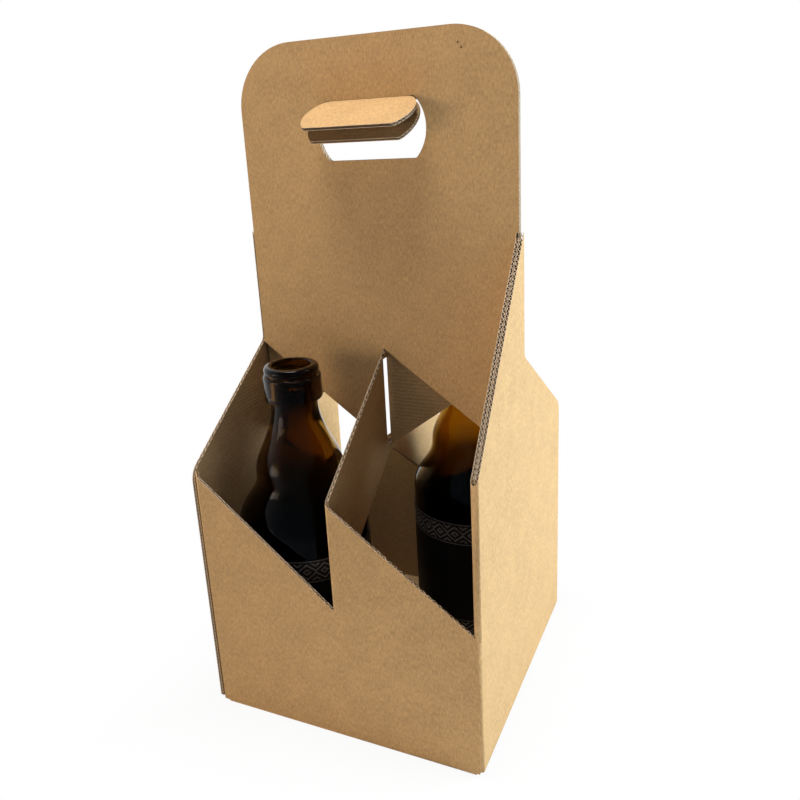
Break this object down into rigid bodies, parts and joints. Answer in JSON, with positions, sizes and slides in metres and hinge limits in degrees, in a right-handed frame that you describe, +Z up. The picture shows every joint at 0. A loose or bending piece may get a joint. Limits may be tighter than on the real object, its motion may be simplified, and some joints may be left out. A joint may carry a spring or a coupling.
{
  "type": "bottle carrier box",
  "caption": "Folded corrugated carrier for beer bottles, with a tall handle panel, hand hole flaps on creases, slanting dividers and open brown bottles standing in it.",
  "frame": {"origin": "on the ground under the middle of the box", "axes": "+Z up, +Y from the front wall to the back wall, +X to the right of the front wall"},
  "size_m": [0.144, 0.144, 0.325],
  "materials": {
    "kraft_board": "uncoated kraft",
    "brown_glass": "glossy",
    "label_paper": "satin print"
  },
  "bodies": {
    "carrier": {"front_blank": "kraft_board", "back_blank": "kraft_board", "front_left_bottle": "brown_glass", "back_right_bottle": "brown_glass", "front_left_label": "label_paper", "back_right_label": "label_paper"},
    "front_flap": {"front_handle_flap": "kraft_board"},
    "back_flap": {"back_handle_flap": "kraft_board"}
  },
  "joints": [
    {"name": "front_flap_crease", "type": "hinge", "parent": "carrier", "child": "front_flap", "pos_m": [0, -0.0015, 0.2973], "axis": [-1, 0, 0], "range_deg": [-55, 45]},
    {"name": "back_flap_crease", "type": "hinge", "parent": "carrier", "child": "back_flap", "pos_m": [0, 0, 0.2955], "axis": [-1, 0, 0], "range_deg": [-43.2, 35.4]}
  ],
  "couplings": [
    {"joint": "back_flap_crease", "follows": "front_flap_crease", "ratio": 0.78461}
  ]
}
